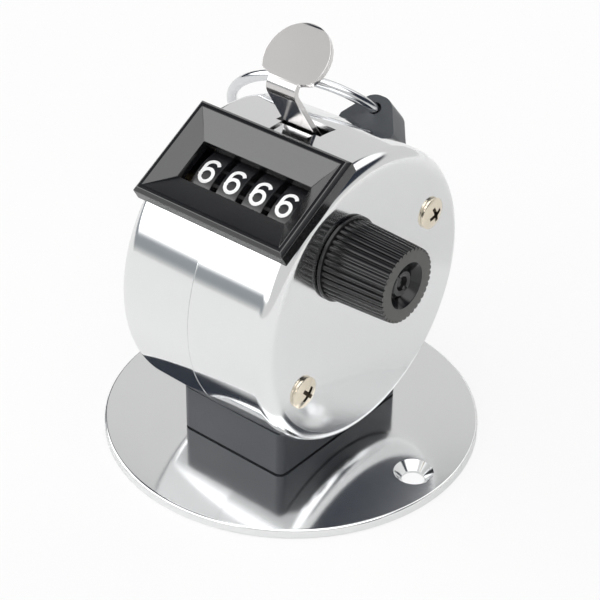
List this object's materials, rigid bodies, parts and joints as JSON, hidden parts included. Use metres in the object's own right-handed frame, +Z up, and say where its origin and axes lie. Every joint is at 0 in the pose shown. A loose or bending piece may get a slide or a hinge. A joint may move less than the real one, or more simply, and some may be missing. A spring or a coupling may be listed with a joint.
{
  "type": "tally counter",
  "caption": "Desk tally counter: plated drum case on a pedestal and round base plate, with thumb lever, number wheels behind a sloping window, reset knob and finger ring.",
  "frame": {"origin": "centre of the base plate's underside", "axes": "+Z up, -Y towards the window side, +X along the drum towards the reset knob"},
  "size_m": [0.056, 0.056, 0.0643],
  "materials": {
    "chrome": "bright plated",
    "pedestal_plastic": "satin",
    "black_plastic": "gloss",
    "wheel_plastic": "satin black with white digits",
    "lug_metal": "dark satin",
    "lever_steel": "satin",
    "nickel": "nickel plated",
    "plug_black": "satin",
    "steel": "plain",
    "spring_steel": "plain",
    "brass": "turned",
    "pinion_plastic": "moulded"
  },
  "bodies": {
    "frame": {"base_plate": "chrome", "pedestal": "pedestal_plastic", "stand_screws": "steel", "anchor_bar": "steel", "left_case": "chrome", "right_case": "chrome", "bezel": "black_plastic", "left_plate": "steel", "right_plate": "steel", "tie_posts": "steel", "left_case_screws": "nickel", "right_case_screws": "nickel", "pinion_shaft": "steel", "pinion_spacers": "brass", "lever_pin": "steel", "lever_spring": "spring_steel", "detent_post": "steel", "detent_spring": "spring_steel", "ring_lug": "lug_metal", "lug_washer": "steel", "lug_screw": "nickel"},
    "reset_shaft": {"main_shaft": "steel", "left_spacer": "brass", "shaft_clip": "steel", "thrust_washer": "brass", "reset_knob": "black_plastic", "knob_screw": "plug_black"},
    "units": {"units_wheel": "wheel_plastic"},
    "tens": {"tens_wheel": "wheel_plastic"},
    "hundreds": {"hundreds_wheel": "wheel_plastic"},
    "thousands": {"thousands_wheel": "wheel_plastic"},
    "tens_carry": {"tens_pinion": "pinion_plastic"},
    "hundreds_carry": {"hundreds_pinion": "pinion_plastic"},
    "thousands_carry": {"thousands_pinion": "pinion_plastic"},
    "lever": {"thumb_lever": "lever_steel", "pawl_pin": "steel", "pawl_spring": "spring_steel"},
    "pawl": {"drive_pawl": "steel"},
    "ring": {"finger_ring": "chrome"}
  },
  "joints": [
    {"name": "knob_turn", "type": "hinge", "parent": "frame", "child": "reset_shaft", "pos_m": [0, -0.00565, 0.03679], "axis": [1, 0, 0], "continuous": true},
    {"name": "units_count", "type": "hinge", "parent": "reset_shaft", "child": "units", "pos_m": [0, -0.00565, 0.03679], "axis": [1, 0, 0], "range_deg": [0, 36]},
    {"name": "tens_turn", "type": "hinge", "parent": "frame", "child": "tens", "pos_m": [0, -0.00565, 0.03679], "axis": [1, 0, 0], "continuous": true},
    {"name": "hundreds_turn", "type": "hinge", "parent": "frame", "child": "hundreds", "pos_m": [0, -0.00565, 0.03679], "axis": [1, 0, 0], "continuous": true},
    {"name": "thousands_turn", "type": "hinge", "parent": "frame", "child": "thousands", "pos_m": [0, -0.00565, 0.03679], "axis": [1, 0, 0], "continuous": true},
    {"name": "tens_carry_turn", "type": "hinge", "parent": "frame", "child": "tens_carry", "pos_m": [0, -0.0006, 0.02804], "axis": [1, 0, 0], "continuous": true},
    {"name": "hundreds_carry_turn", "type": "hinge", "parent": "frame", "child": "hundreds_carry", "pos_m": [0, -0.0006, 0.02804], "axis": [1, 0, 0], "continuous": true},
    {"name": "thousands_carry_turn", "type": "hinge", "parent": "frame", "child": "thousands_carry", "pos_m": [0, -0.0006, 0.02804], "axis": [1, 0, 0], "continuous": true},
    {"name": "lever_press", "type": "hinge", "parent": "frame", "child": "lever", "pos_m": [0, 0.0041, 0.0446], "axis": [-1, 0, 0], "range_deg": [0, 20], "stiffness_Nm_per_rad": 0.06, "springref_deg": -20.05, "deforming": ["lever_spring"]},
    {"name": "pawl_lift", "type": "hinge", "parent": "lever", "child": "pawl", "pos_m": [0, 0.00067, 0.04069], "axis": [-1, 0, 0], "range_deg": [0, 25], "stiffness_Nm_per_rad": 0.001, "springref_deg": -11.46, "deforming": ["pawl_spring"]},
    {"name": "ring_swing", "type": "hinge", "parent": "frame", "child": "ring", "pos_m": [0.0006, 0.01953, 0.04339], "axis": [0.2588, 0.6209, -0.7399], "range_deg": [-8, 150]}
  ],
  "couplings": [
    {"joint": "units_count", "follows": "lever_press", "ratio": 1.8},
    {"joint": "tens_turn", "follows": "knob_turn", "ratio": 1},
    {"joint": "hundreds_turn", "follows": "knob_turn", "ratio": 1},
    {"joint": "thousands_turn", "follows": "knob_turn", "ratio": 1},
    {"joint": "tens_carry_turn", "follows": "knob_turn", "ratio": -2.5},
    {"joint": "hundreds_carry_turn", "follows": "knob_turn", "ratio": -2.5},
    {"joint": "thousands_carry_turn", "follows": "knob_turn", "ratio": -2.5}
  ]
}
